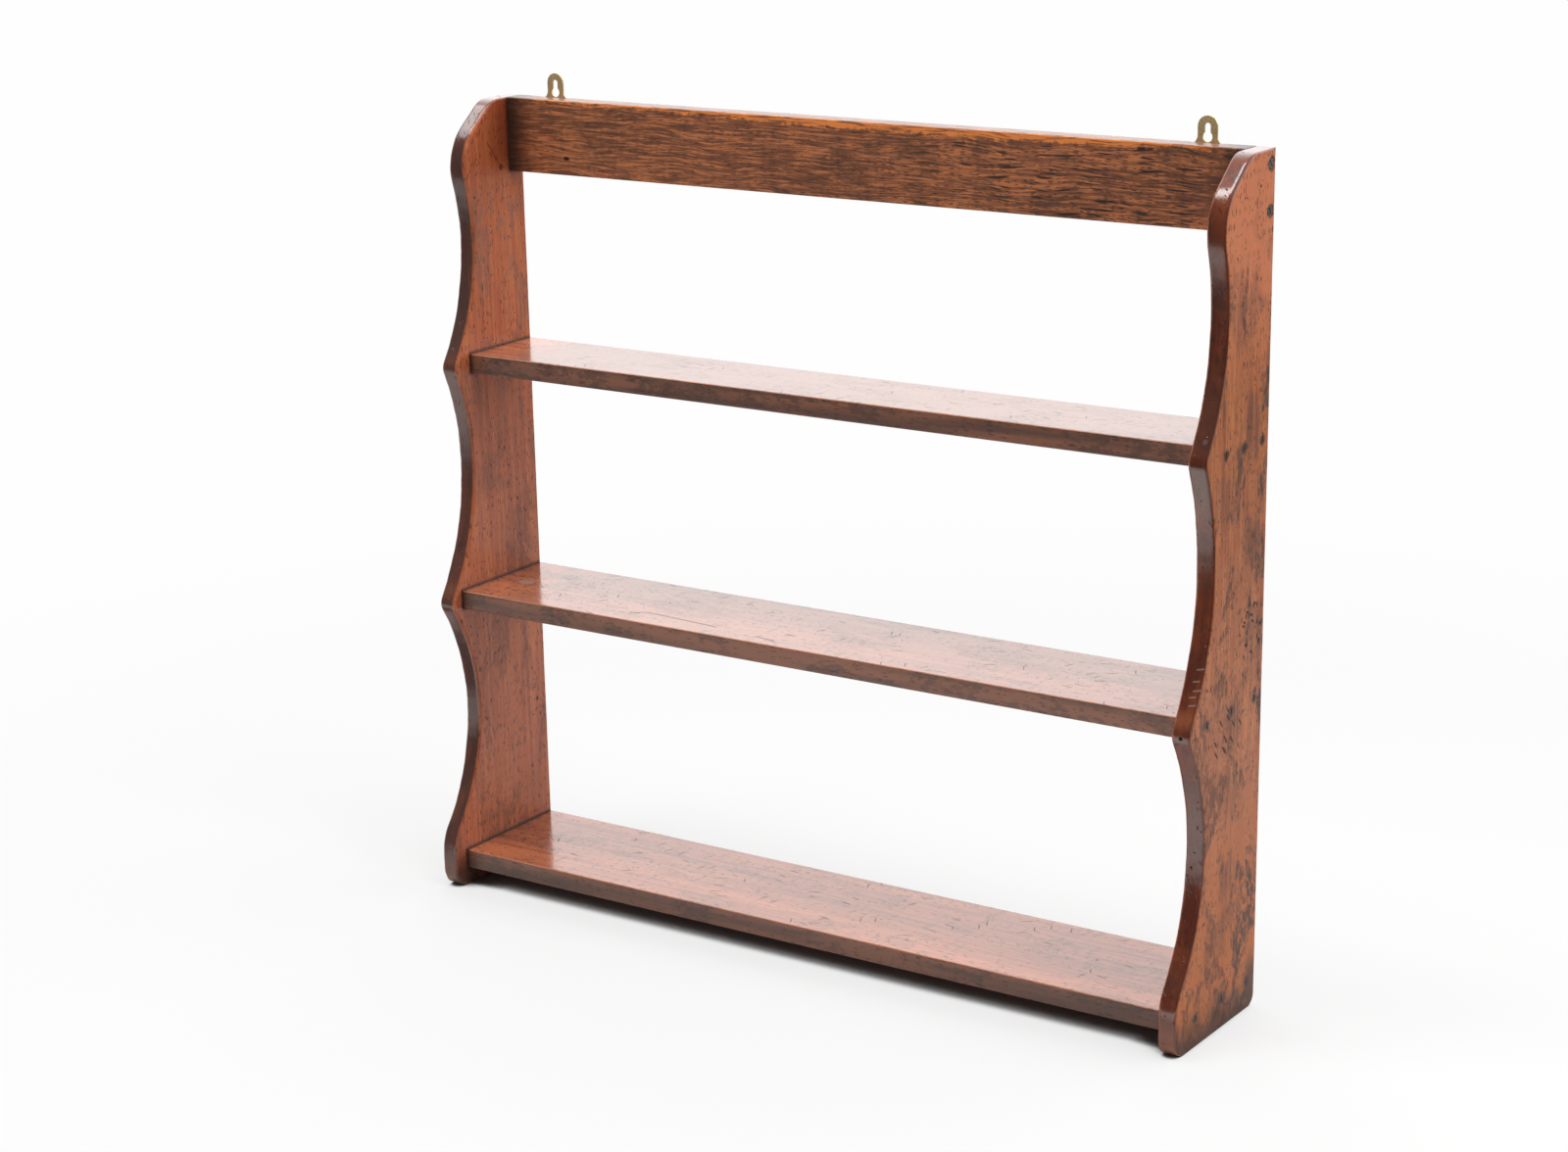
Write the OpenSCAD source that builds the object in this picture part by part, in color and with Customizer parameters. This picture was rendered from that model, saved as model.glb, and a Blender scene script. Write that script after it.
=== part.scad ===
// Hanging wall shelf: two scalloped sides, three shelves housed and nailed into
// them, a rail screwed between them at the top, and two keyhole hanging plates.
// It stands on z = 0 with the wall side towards +Y and the open front towards -Y.
// X = 0 is the middle of the width, Y = 0 is halfway through the depth.

/* [Frame] */
// Width over the two sides
frame_w = 914; // [600:1:1200]
// Height of the sides
side_h = 860; // [850:1:870]
// Thickness of each side
side_t = 20; // [16:0.5:26]
// Depth of the sides at the feet, the deepest point of the frame
side_d = 171; // [168:0.5:176]

/* [Side outline] */
// Height of the deepest point of each scallop, from the top one down
scallop_z = [714, 475, 200]; // [150:1:750]
// Depth of the side left at each scallop
scallop_d = [90, 108, 118]; // [85:1:122]
// Radius of each scallop
scallop_r = [225, 258, 218]; // [200:1:280]
// Radius of the points between two scallops
point_r = 16; // [6:0.5:16]
// Radius of the shoulder under the sloping top corner
shoulder_r = 55; // [50:1:60]
// Depth of the side at the shoulder
shoulder_d = 101; // [99:0.5:104]
// Slope of the top corner, below the horizontal
slope_angle = 39; // [35:1:43]
// Radius where the slope meets the top
crown_r = 40; // [4:1:50]
// Radius above the front of the foot
instep_r = 50; // [30:1:60]
// Radius of the front bottom corner
toe_r = 20; // [4:1:24]
// Radius of the back bottom corner
heel_r = 12; // [4:1:20]

/* [Shelves] */
// Thickness of the shelves
shelf_t = 21; // [16:0.5:24]
// Height of each shelf's upper face, from the top shelf down
shelf_z = [595, 338, 41]; // [30:1:600]
// Depth of each shelf
shelf_d = [105, 138, 152]; // [90:1:155]
// Depth of the stopped housing that holds a shelf's end
housing_depth = 6; // [3:0.5:10]

/* [Rail] */
// Thickness of the rail
rail_t = 22; // [18:0.5:28]
// Height of the rail
rail_h = 79; // [70:1:90]

/* [Nails] */
// Places of the nails across a shelf's end, as shares of its depth
nail_places = [0.12, 0.48, 0.85]; // [0.05:0.01:0.95]
// Width of a nail's head
nail_head_w = 3; // [2.4:0.1:4]
// Height of a nail's head, along the grain of the side
nail_head_h = 6; // [4:0.1:8]
// Thickness of a nail's head
nail_head_t = 2; // [1:0.1:3]
// Width of a nail's shank
nail_shank_w = 2; // [1.6:0.1:2.4]
// Height of a nail's shank
nail_shank_h = 3.6; // [2.4:0.1:4]
// Length of a nail
nail_length = 50; // [35:1:60]
// How far a nail's head is punched below the surface
nail_sink = 0.4; // [0:0.1:1]

/* [Rail screws] */
// Heights of the two screws in each end of the rail, from its lower edge
rail_screw_z = [21, 65]; // [10:1:70]
// Distance of the rail screws from the back
rail_screw_d = 9; // [7:0.5:15]
// Diameter of a rail screw's head
rail_screw_head = 9.5; // [8:0.5:11]
// Diameter of a rail screw's shank
rail_screw_shank = 5; // [4:0.5:6]
// Length of a rail screw
rail_screw_length = 50; // [40:1:60]

/* [Hanging plates] */
// Distance between the middles of the two plates
plate_spacing = 774; // [400:1:780]
// Thickness of a plate
plate_t = 1.8; // [1.2:0.1:2.5]
// Width of the loop that stands above the rail
loop_w = 21; // [18:0.5:24]
// Height of a plate above the rail
loop_h = 25.5; // [24:0.5:28]
// Radius of the keyhole's round part
keyhole_r = 5; // [4.5:0.1:5.5]
// Width of the keyhole's slot
slot_w = 6; // [5:0.1:6.4]
// Height of the keyhole's slot above the middle of its round part
slot_h = 10; // [8:0.5:11]
// Width of the part screwed to the rail
base_w = 37; // [34:1:44]
// Height of the part screwed to the rail
base_h = 30; // [24:1:40]
// Radius of the base's lower corners
base_r = 6; // [2:1:10]
// Radius of the flare between the loop and the base
flare_r = 8; // [6:0.5:8]
// Distance between a plate's two screws
plate_screw_spacing = 22; // [18:1:24]
// Diameter of a plate screw's head
plate_screw_head = 7; // [6:0.5:8]
// Diameter of a plate screw's shank
plate_screw_shank = 3.5; // [3:0.5:4]
// Length of a plate screw
plate_screw_length = 16; // [12:1:18]

/* [Hidden] */

left = -1;
right = 1;
top = 0;
middle = 1;
bottom = 2;

back_y = side_d / 2;
front_y = -side_d / 2;
inner_x = frame_w / 2 - side_t;
shelf_w = 2 * (inner_x + housing_depth);
rail_z = side_h - rail_h;
keyhole_z = keyhole_r + 0.5;
loop_z = loop_h - loop_w / 2;
shoulder_drop = 1.5;
plate_screw_z = -shoulder_drop - base_h / 2;
arc_step = 4;
round_fn = 48;
cut = 1;

side_colour = [0.50, 0.20, 0.09];
shelf_colour = [0.46, 0.22, 0.13];
rail_colour = [0.36, 0.17, 0.08];
brass_colour = [0.62, 0.50, 0.26];
iron_colour = [0.12, 0.11, 0.10];

// ---- Outline geometry -------------------------------------------------------

function on_circle(c, r, a) = c + r * [cos(a), sin(a)];

// Points of an arc from angle a to angle b
function arc(c, r, a, b) =
    let (steps = ceil(abs(b - a) / arc_step))
    [for (i = [0:steps]) on_circle(c, r, a + (b - a) * i / steps)];

// Direction from point p to point q, from 0 to 360 degrees
function heading(p, q) =
    let (a = atan2(q.y - p.y, q.x - p.x))
    a < 0 ? a + 360 : a;

// The same direction, from -180 to 180 degrees
function heading_near_zero(p, q) = atan2(q.y - p.y, q.x - p.x);

// The point at distance ra from a and rb from b, on the side towards the back
function meeting(a, ra, b, rb) =
    let (
        d = norm(b - a),
        along = (ra * ra - rb * rb + d * d) / (2 * d),
        across = sqrt(ra * ra - along * along),
        u = (b - a) / d
    )
    a + along * u + across * [-u.y, u.x];

// Centre of the circle of each scallop, out in front of the side
function scallop_centre(i) = [back_y - scallop_d[i] - scallop_r[i], scallop_z[i]];

// Centre of the rounded point between scallops i and i + 1
function point_centre(i) = meeting(
    scallop_centre(i), scallop_r[i] + point_r,
    scallop_centre(i + 1), scallop_r[i + 1] + point_r
);

// Centre of a circle of radius r that touches scallop i and the upright line at
// depth d, above the scallop when way is 1 and below it when way is -1
function corner_centre(i, r, d, way) =
    let (
        y = back_y - d + r,
        dy = y - scallop_centre(i).x,
        reach = scallop_r[i] + r
    )
    [y, scallop_z[i] + way * sqrt(reach * reach - dy * dy)];

shoulder_c = corner_centre(top, shoulder_r, shoulder_d, 1);
instep_c = corner_centre(bottom, instep_r, side_d, -1);
slope_normal = 90 + slope_angle;
slope_n = [cos(slope_normal), sin(slope_normal)];
slope_reach = slope_n * shoulder_c + shoulder_r;
crown_z = side_h - crown_r;
crown_c = [(slope_reach - crown_r - slope_n.y * crown_z) / slope_n.x, crown_z];

// The arc of scallop i, from the circle about p above it to the one about q below it
function scallop(i, p, q) =
    let (c = scallop_centre(i))
    arc(c, scallop_r[i], heading_near_zero(c, p), heading_near_zero(c, q));

function point(i) =
    let (c = point_centre(i))
    arc(c, point_r, heading(c, scallop_centre(i)), heading(c, scallop_centre(i + 1)));

side_outline = concat(
    [[back_y, side_h]],
    arc(crown_c, crown_r, 90, slope_normal),
    arc(shoulder_c, shoulder_r, slope_normal, heading(shoulder_c, scallop_centre(top))),
    scallop(top, shoulder_c, point_centre(0)),
    point(0),
    scallop(middle, point_centre(0), point_centre(1)),
    point(1),
    scallop(bottom, point_centre(1), instep_c),
    arc(instep_c, instep_r, heading(instep_c, scallop_centre(bottom)), 180),
    arc([front_y + toe_r, toe_r], toe_r, 180, 270),
    arc([back_y - heel_r, heel_r], heel_r, 270, 360)
);

// ---- Fasteners --------------------------------------------------------------

// Mirrors what is drawn for the right-hand end to the other end
module on(end) {
    mirror([end == left ? 1 : 0, 0, 0]) children();
}

// Turns what is drawn pointing down from z = 0 to point inwards from the right
module driven_from_right() {
    rotate([0, 90, 0]) children();
}

// One cut nail along -Z, with the top of its head at z = 0
module cut_nail() {
    translate([-nail_head_h / 2, -nail_head_w / 2, -nail_head_t])
        cube([nail_head_h, nail_head_w, nail_head_t]);
    translate([-nail_shank_h / 2, -nail_shank_w / 2, -nail_length])
        cube([nail_shank_h, nail_shank_w, nail_length - nail_head_t + 0.01]);
}

// The space that a nail is driven into, open to the surface above its head
module nail_hole() {
    cut_nail();
    translate([-nail_head_h / 2, -nail_head_w / 2, -nail_head_t])
        cube([nail_head_h, nail_head_w, nail_head_t + nail_sink + cut]);
}

// Countersunk screw body along -Z, with the flat of its head at z = 0
module screw_body(head, shank, length) {
    cone = (head - shank) / 2;
    tip = shank;
    rotate_extrude($fn = round_fn) polygon([
        [0, 0], [head / 2, 0], [shank / 2, -cone], [shank / 2, tip - length], [0, -length]
    ]);
}

// A screw with a slot across its head at the given angle
module slotted_screw(head, shank, length, slot_angle) {
    slot_width = head / 8;
    slot_depth = head / 9;
    difference() {
        screw_body(head, shank, length);
        rotate([0, 0, slot_angle])
            translate([-head, -slot_width / 2, -slot_depth])
                cube([2 * head, slot_width, slot_depth + cut]);
    }
}

// Places a nail at each nail place of one shelf, in the right-hand end
module at_nails(shelf) {
    for (place = nail_places)
        translate([
            frame_w / 2 - nail_sink,
            back_y - place * shelf_d[shelf],
            shelf_z[shelf] - shelf_t / 2
        ])
            driven_from_right() children();
}

module at_rail_screws() {
    for (z = rail_screw_z)
        translate([frame_w / 2, back_y - rail_screw_d, rail_z + z])
            driven_from_right() children();
}

// Places a screw in each hole of the right-hand plate, driven in from the back
module at_plate_screws() {
    for (x = [-0.5, 0.5] * plate_screw_spacing)
        translate([plate_spacing / 2 + x, back_y, side_h + plate_screw_z])
            rotate([-90, 0, 0]) children();
}

module rail_screw_body() {
    screw_body(rail_screw_head, rail_screw_shank, rail_screw_length);
}

module plate_screw_body() {
    screw_body(plate_screw_head, plate_screw_shank, plate_screw_length);
}

// ---- Sides ------------------------------------------------------------------

module right_hand_side() {
    difference() {
        translate([inner_x, 0, 0])
            rotate([90, 0, 90])
                linear_extrude(side_t) polygon(side_outline);
        for (shelf = [top, middle, bottom]) {
            translate([
                inner_x - cut,
                back_y - shelf_d[shelf],
                shelf_z[shelf] - shelf_t
            ])
                cube([housing_depth + cut, shelf_d[shelf] + cut, shelf_t]);
            at_nails(shelf) nail_hole();
        }
        at_rail_screws() rail_screw_body();
    }
}

module left_side() {
    color(side_colour) on(left) right_hand_side();
}

module right_side() {
    color(side_colour) right_hand_side();
}

// ---- Shelves ----------------------------------------------------------------

module shelf_board(shelf) {
    color(shelf_colour)
        difference() {
            translate([-shelf_w / 2, back_y - shelf_d[shelf], shelf_z[shelf] - shelf_t])
                cube([shelf_w, shelf_d[shelf], shelf_t]);
            for (end = [left, right]) on(end) at_nails(shelf) cut_nail();
        }
}

module top_shelf() {
    shelf_board(top);
}

module middle_shelf() {
    shelf_board(middle);
}

module bottom_shelf() {
    shelf_board(bottom);
}

// ---- Rail -------------------------------------------------------------------

module top_rail() {
    color(rail_colour)
        difference() {
            translate([-inner_x, back_y - rail_t, rail_z])
                cube([2 * inner_x, rail_t, rail_h]);
            for (end = [left, right]) on(end) {
                at_rail_screws() rail_screw_body();
                at_plate_screws() plate_screw_body();
                at_plate() plate_recess();
            }
        }
}

// ---- Hanging plates ---------------------------------------------------------

// Places a plate outline, drawn from the middle of the rail's upper back edge
module at_plate() {
    translate([plate_spacing / 2, back_y, side_h])
        rotate([90, 0, 0]) children();
}

// Outline of the screwed part of a plate, up to the given height
module base_outline(top_y) {
    low = -shoulder_drop - base_h;
    polygon(concat(
        [[base_w / 2, top_y], [-base_w / 2, top_y]],
        arc([-base_w / 2 + base_r, low + base_r], base_r, 180, 270),
        arc([base_w / 2 - base_r, low + base_r], base_r, 270, 360)
    ));
}

module plate_recess() {
    translate([0, 0, -cut]) linear_extrude(plate_t + cut) base_outline(cut);
}

// Loop and flare that stand above the base
module loop_outline() {
    flare_z = flare_r - shoulder_drop;
    side_x = loop_w / 2;
    polygon(concat(
        arc([0, loop_z], side_x, 0, 180),
        arc([-side_x - flare_r, flare_z], flare_r, 0, -90),
        arc([side_x + flare_r, flare_z], flare_r, 270, 180)
    ));
}

module keyhole() {
    translate([0, keyhole_z, -cut])
        cylinder(r = keyhole_r, h = plate_t + 2 * cut, $fn = round_fn);
    translate([-slot_w / 2, keyhole_z, -cut])
        cube([slot_w, slot_h, plate_t + 2 * cut]);
    translate([0, keyhole_z + slot_h, -cut])
        cylinder(d = slot_w, h = plate_t + 2 * cut, $fn = round_fn);
}

module right_hand_plate() {
    color(brass_colour)
        difference() {
            at_plate() difference() {
                linear_extrude(plate_t) union() {
                    base_outline(-shoulder_drop);
                    loop_outline();
                }
                keyhole();
            }
            at_plate_screws() plate_screw_body();
        }
}

module left_hanging_plate() {
    on(left) right_hand_plate();
}

module right_hanging_plate() {
    right_hand_plate();
}

// ---- Screws and nails -------------------------------------------------------

module plate_screws(end) {
    color(brass_colour)
        on(end) at_plate_screws()
            slotted_screw(plate_screw_head, plate_screw_shank, plate_screw_length, 30);
}

module left_plate_screws() {
    plate_screws(left);
}

module right_plate_screws() {
    plate_screws(right);
}

module rail_screws(end) {
    color(iron_colour)
        on(end) at_rail_screws()
            slotted_screw(rail_screw_head, rail_screw_shank, rail_screw_length, 35);
}

module left_rail_screws() {
    rail_screws(left);
}

module right_rail_screws() {
    rail_screws(right);
}

module shelf_nails(shelf, end) {
    color(iron_colour) on(end) at_nails(shelf) cut_nail();
}

left_side();
right_side();
top_shelf();
middle_shelf();
bottom_shelf();
top_rail();
left_hanging_plate();
right_hanging_plate();
left_plate_screws();
right_plate_screws();
left_rail_screws();
right_rail_screws();
shelf_nails(top, left);  // top_shelf_left_nails
shelf_nails(top, right);  // top_shelf_right_nails
shelf_nails(middle, left);  // middle_shelf_left_nails
shelf_nails(middle, right);  // middle_shelf_right_nails
shelf_nails(bottom, left);  // bottom_shelf_left_nails
shelf_nails(bottom, right);  // bottom_shelf_right_nails
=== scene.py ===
import math
import random

import bmesh
import bpy
from mathutils import Matrix, Vector


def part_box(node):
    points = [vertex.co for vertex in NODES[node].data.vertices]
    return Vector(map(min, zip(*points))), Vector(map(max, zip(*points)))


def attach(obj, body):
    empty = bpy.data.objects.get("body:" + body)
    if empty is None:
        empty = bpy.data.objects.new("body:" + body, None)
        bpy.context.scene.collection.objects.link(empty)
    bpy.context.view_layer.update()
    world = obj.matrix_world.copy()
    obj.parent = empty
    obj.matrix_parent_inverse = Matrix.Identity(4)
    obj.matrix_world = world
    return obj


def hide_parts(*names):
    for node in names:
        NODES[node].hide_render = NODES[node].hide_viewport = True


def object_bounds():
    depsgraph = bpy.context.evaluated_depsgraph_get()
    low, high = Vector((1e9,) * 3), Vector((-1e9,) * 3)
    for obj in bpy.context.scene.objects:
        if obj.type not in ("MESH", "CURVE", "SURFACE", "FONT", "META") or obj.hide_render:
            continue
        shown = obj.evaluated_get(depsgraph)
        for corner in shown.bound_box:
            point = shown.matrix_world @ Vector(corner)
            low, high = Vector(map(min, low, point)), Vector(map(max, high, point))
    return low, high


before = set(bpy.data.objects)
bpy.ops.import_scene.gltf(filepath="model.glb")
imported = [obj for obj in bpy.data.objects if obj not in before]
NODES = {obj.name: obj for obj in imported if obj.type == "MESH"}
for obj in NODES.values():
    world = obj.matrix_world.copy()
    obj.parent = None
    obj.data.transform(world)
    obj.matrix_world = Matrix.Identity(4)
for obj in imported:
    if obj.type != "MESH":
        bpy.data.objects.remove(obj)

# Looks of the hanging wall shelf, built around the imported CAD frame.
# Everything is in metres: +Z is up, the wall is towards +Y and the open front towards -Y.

MM = 0.001
BODY = "root"
cad_low, cad_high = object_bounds()
random.seed(7)

ENDS = ("left", "right")
SHELVES = ("top_shelf", "middle_shelf", "bottom_shelf")
SHELF_TOPS = {node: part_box(node)[1].z for node in SHELVES}
OUTER_X = cad_high.x
INNER_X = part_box("right_side")[0].x

# How far the arrises of the sides are rubbed round, in millimetres, and over what distance from
# the top, the floor and the wall each radius gives way to the front's.
FRONT_ARRIS = 4.4
TOP_ARRIS, TOP_REACH = 2.2, 8.0
FLOOR_ARRIS, FLOOR_REACH = 1.4, 14.0
WALL_ARRIS, WALL_REACH = 1.0, 12.0

# Places of marks on the faces and edges of the sides. On a face they are (y, z).
HANDLED = (
    (0.048, 0.711), (0.020, 0.726), (-0.004, 0.545), (0.054, 0.489), (0.050, 0.600),
    (0.026, 0.307), (0.021, 0.236), (0.015, 0.148), (0.010, 0.114), (0.070, 0.400),
)
RUBBED_AT = (0.012, 0.303)
KNOCKED_AT = (0.060, 0.402)
HOLE_IN_FACE = (OUTER_X, 0.056, 0.8277)
HOLE_BY_RAIL = (-INNER_X, 0.0474, 0.7875)
CRACK_BY_RAIL = ((-INNER_X, 0.026, 0.816), (-INNER_X, 0.0465, 0.789))
HOLE_IN_EDGE = (0.4480, 0.0, 0.3235)
# A painted glint: a pale dot on the right front edge just above the top shelf.
GLINT_ON_EDGE = (0.4500, 0.0, 0.6030)
EDGE_STROKES = ((0.4490, 0.352), (0.4475, 0.359), (0.4500, 0.365), (0.4480, 0.373), (0.4495, 0.384))

# Marks on the middle shelf: scored lines, as the (x, y) of both ends and half the width, and a spot.
SCORED_LINES = (
    ((-0.212, -0.018), (-0.117, -0.026), 0.0011),
    ((-0.212, -0.018), (-0.226, -0.029), 0.0009),
    ((-0.060, -0.034), (-0.036, -0.037), 0.0010),
)
GREY_SPOT = (-0.398, 0.011)
# A hole in the rail's front, as its (x, z).
HOLE_IN_RAIL = (-0.360, 0.799)


# ---- Shader graphs ----------------------------------------------------------

class Graph:
    """A material's or world's node tree with short calls for the nodes used here."""

    def __init__(self, tree):
        self.tree = tree

    def add(self, kind, inputs=None, **settings):
        node = self.tree.nodes.new(kind)
        for name, value in settings.items():
            setattr(node, name, value)
        for name, value in (inputs or {}).items():
            self.put(node.inputs[name], value)
        return node

    def put(self, socket, value):
        if isinstance(value, bpy.types.NodeSocket):
            self.tree.links.new(value, socket)
        else:
            socket.default_value = value

    def math(self, operation, a, b=0.0, clamp=False):
        node = self.add("ShaderNodeMath", operation=operation, use_clamp=clamp)
        self.put(node.inputs[0], a)
        self.put(node.inputs[1], b)
        return node.outputs[0]

    def vector(self, operation, a, b=(0.0, 0.0, 0.0)):
        node = self.add("ShaderNodeVectorMath", operation=operation)
        self.put(node.inputs[0], a)
        self.put(node.inputs[1], b)
        return node.outputs["Value" if operation in ("LENGTH", "DOT_PRODUCT") else "Vector"]

    def ramp(self, value, low, high, to_low=0.0, to_high=1.0, smooth=True):
        """value mapped from low..high to to_low..to_high, and held beyond."""
        node = self.add(
            "ShaderNodeMapRange",
            {"Value": value, "From Min": low, "From Max": high, "To Min": to_low, "To Max": to_high},
            interpolation_type="SMOOTHSTEP" if smooth else "LINEAR",
        )
        return node.outputs["Result"]

    def mix(self, factor, a, b):
        node = self.add("ShaderNodeMix", data_type="RGBA", clamp_factor=True)
        self.put(node.inputs[0], factor)
        self.put(node.inputs[6], a)
        self.put(node.inputs[7], b)
        return node.outputs[2]

    def mix_value(self, factor, a, b):
        node = self.add("ShaderNodeMix", data_type="FLOAT", clamp_factor=True)
        self.put(node.inputs[0], factor)
        self.put(node.inputs[2], a)
        self.put(node.inputs[3], b)
        return node.outputs[0]

    def noise(self, where, detail=2.0, roughness=0.5, distortion=0.0, scale=1.0):
        inputs = {"Vector": where, "Scale": scale, "Detail": detail}
        inputs.update({"Roughness": roughness, "Distortion": distortion})
        return self.add("ShaderNodeTexNoise", inputs).outputs["Fac"]

    def times(self, *values):
        """The product of two or more values."""
        product = values[0]
        for value in values[1:]:
            product = self.math("MULTIPLY", product, value)
        return product

    def most(self, *values):
        """The greatest of two or more values."""
        greatest = values[0]
        for value in values[1:]:
            greatest = self.math("MAXIMUM", greatest, value)
        return greatest

    def opposite(self, value):
        return self.math("SUBTRACT", 1.0, value)

    def centred(self, value, swing):
        """A 0 to 1 value made to swing half of swing either side of 0."""
        return self.math("MULTIPLY", self.math("SUBTRACT", value, 0.5), swing)

    def separate(self, where):
        return self.add("ShaderNodeSeparateXYZ", {"Vector": where}).outputs

    def combine(self, x, y, z):
        return self.add("ShaderNodeCombineXYZ", {"X": x, "Y": y, "Z": z}).outputs[0]


def new_material(name):
    material = bpy.data.materials.new(name)
    material.use_nodes = True
    tree = material.node_tree
    shader = tree.nodes["Principled BSDF"]
    return material, Graph(tree), shader


def rgb(r, g, b):
    return (r, g, b, 1.0)


# ---- Stage, lights and camera -----------------------------------------------

def make_camera():
    """Looks down at the front from the right, from a little above the shelf's own height."""
    azimuth, elevation, roll = (math.radians(a) for a in (-34.318, -17.515, -1.147))
    place = Vector((1.7587, -2.6490, 1.2915))
    forward = Vector((
        math.sin(azimuth) * math.cos(elevation),
        math.cos(azimuth) * math.cos(elevation),
        math.sin(elevation),
    ))
    level = Vector((math.cos(azimuth), -math.sin(azimuth), 0.0))
    upward = level.cross(forward)
    right = level * math.cos(roll) + upward * math.sin(roll)
    up = upward * math.cos(roll) - level * math.sin(roll)
    data = bpy.data.cameras.new("camera")
    data.sensor_width = 36.0
    data.lens = 73.81
    data.shift_y = 0.0688
    camera = bpy.data.objects.new("camera", data)
    camera.matrix_world = Matrix.Translation(place) @ Matrix((right, up, -forward)).transposed().to_4x4()
    bpy.context.scene.collection.objects.link(camera)
    bpy.context.scene.camera = camera


def make_floor():
    """White paper under the shelf."""
    mesh = bpy.data.meshes.new("floor")
    shape = bmesh.new()
    bmesh.ops.create_circle(shape, cap_ends=True, segments=96, radius=14.0)
    shape.to_mesh(mesh)
    shape.free()
    floor = bpy.data.objects.new("floor", mesh)
    floor.location.z = cad_low.z
    bpy.context.scene.collection.objects.link(floor)
    mesh.materials.append(floor_material())


def floor_material():
    """Overexposed paper with a contact shadow. It is lit near the shelf only, which is what the polished
    edges mirror, and is dark where the hook rack, another object, stands in the photo."""
    material, g, shader = new_material("floor_paper")
    where = g.add("ShaderNodeTexCoord").outputs["Object"]
    x, y, z = g.separate(where)
    rays = g.add("ShaderNodeLightPath").outputs
    seen = rays["Is Camera Ray"]
    covered = g.times(g.ramp(x, -0.97, -0.88), g.ramp(x, -0.50, -0.62))
    covered = g.times(covered, g.times(g.ramp(y, -0.48, -0.40), g.ramp(y, -0.08, -0.20)))
    open_floor = g.opposite(covered)
    lit = g.times(g.ramp(y, -1.9, -0.7), g.ramp(x, 1.7, 0.8), open_floor)
    paper = g.mix(lit, rgb(0.14, 0.13, 0.13), rgb(0.68, 0.68, 0.68))
    g.put(shader.inputs["Base Color"], g.mix(seen, paper, rgb(0.22, 0.22, 0.22)))
    shader.inputs["Roughness"].default_value = 0.9
    shader.inputs["Specular IOR Level"].default_value = 0.0

    open_sky = g.add("ShaderNodeAmbientOcclusion", {"Distance": 0.045}, samples=16).outputs["AO"]
    paper_glow = g.times(seen, g.ramp(open_sky, 0.30, 0.56, 0.0, 0.66))
    glare = g.times(g.ramp(y, -1.5, -0.5), g.ramp(y, -0.15, -0.33))
    glare = g.times(rays["Is Glossy Ray"], glare, g.ramp(x, 1.2, 0.6))
    glare = g.times(glare, g.ramp(x, -0.80, -0.50, 0.35, 1.1), open_floor)
    g.put(shader.inputs["Emission Color"], g.mix(seen, rgb(1.0, 0.92, 0.84), rgb(1.0, 1.0, 1.0)))
    g.put(shader.inputs["Emission Strength"], g.math("ADD", glare, paper_glow))

    white = g.add("ShaderNodeEmission", {"Color": rgb(1.0, 1.0, 1.0), "Strength": 0.99})
    far = g.times(seen, g.ramp(g.vector("LENGTH", where), 0.75, 1.9))
    blend = g.add("ShaderNodeMixShader", {"Fac": far})
    g.put(blend.inputs[1], shader.outputs[0])
    g.put(blend.inputs[2], white.outputs[0])
    g.put(material.node_tree.nodes["Material Output"].inputs["Surface"], blend.outputs[0])
    return material


def make_area_light(name, place, size, power, aim, lights_up=True, mirrored=True):
    """A soft panel. It may only light the scene, or only be seen mirrored in the polish."""
    data = bpy.data.lights.new(name, "AREA")
    data.shape = "RECTANGLE"
    data.size, data.size_y = size
    data.energy = power
    light = bpy.data.objects.new(name, data)
    light.visible_diffuse = lights_up
    light.visible_glossy = mirrored
    light.location = place
    light.rotation_euler = (Vector(aim) - Vector(place)).to_track_quat("-Z", "Y").to_euler()
    bpy.context.scene.collection.objects.link(light)


def make_world():
    """A white studio: an overexposed backdrop, a soft ceiling, a dark room behind the camera."""
    world = bpy.data.worlds.new("studio")
    world.use_nodes = True
    bpy.context.scene.world = world
    g = Graph(world.node_tree)
    back = world.node_tree.nodes["Background"]
    where = g.add("ShaderNodeTexCoord").outputs["Generated"]
    x, y, z = g.separate(where)
    backdrop = g.times(g.ramp(y, 0.05, 0.60, 0.0, 2.0), g.ramp(z, 0.95, 0.45))
    backdrop = g.times(backdrop, g.ramp(z, 0.16, 0.30, 0.62, 1.0), g.ramp(x, -0.92, -0.72, 0.30, 1.0))
    ceiling = g.times(g.ramp(y, -0.45, 0.15, 0.0, 0.55), g.ramp(z, 0.35, 0.9))
    room = g.ramp(y, -0.6, 0.2, 0.11, 0.50)
    glow = g.math("ADD", g.math("ADD", backdrop, ceiling), room)
    seen = g.add("ShaderNodeLightPath").outputs["Is Camera Ray"]
    back.inputs["Color"].default_value = rgb(1.0, 1.0, 1.0)
    g.put(back.inputs["Strength"], g.mix_value(seen, glow, 0.99))


def make_lights():
    middle = (0.0, 0.0, 0.45)
    top_left = (-0.45, 0.0, 0.80)
    make_area_light("overhead_softbox", (0.1, -0.34, 2.7), (2.2, 0.60), 44.0, middle)
    make_area_light("left_softbox", (-1.9, -0.10, 2.7), (1.6, 0.60), 13.0, top_left, lights_up=False)
    make_area_light("right_fill", (3.0, 0.1, 1.5), (1.5, 1.5), 25.0, middle, mirrored=False)
    make_area_light("front_fill", (-2.2, -2.4, 1.6), (2.8, 2.2), 14.0, middle, mirrored=False)


# ---- Pieces ------------------------------------------------------------------

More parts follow.
